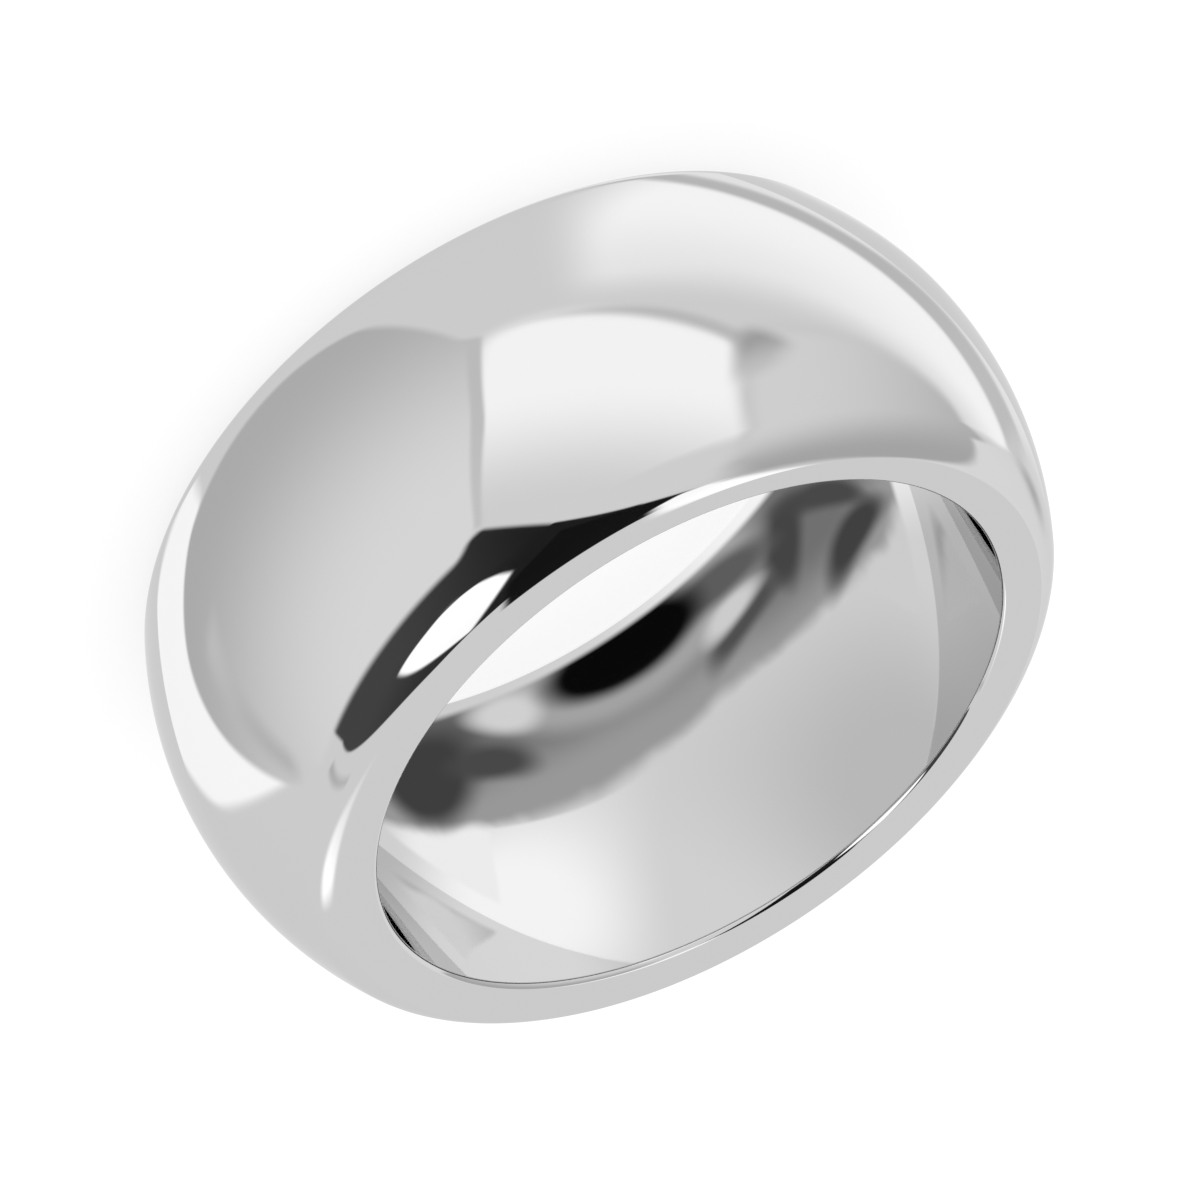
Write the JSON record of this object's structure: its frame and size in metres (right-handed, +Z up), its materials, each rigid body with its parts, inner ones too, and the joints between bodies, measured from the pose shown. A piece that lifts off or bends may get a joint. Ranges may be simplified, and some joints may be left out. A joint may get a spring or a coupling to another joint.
{
  "type": "plain dome ring",
  "caption": "Plain wide finger ring with a domed band, flat side faces and rounded inner edges, lying on its side.",
  "frame": {"origin": "on the axis of the finger hole, at the lower side face that the ring rests on", "axes": "+Z up along the finger hole, +Y to the top of the ring, where the band is widest"},
  "size_m": [0.0244, 0.0244, 0.0104],
  "materials": {
    "polished_metal": "mirror polished white metal, as silver"
  },
  "bodies": {
    "root": {"ring": "polished_metal"}
  },
  "joints": []
}
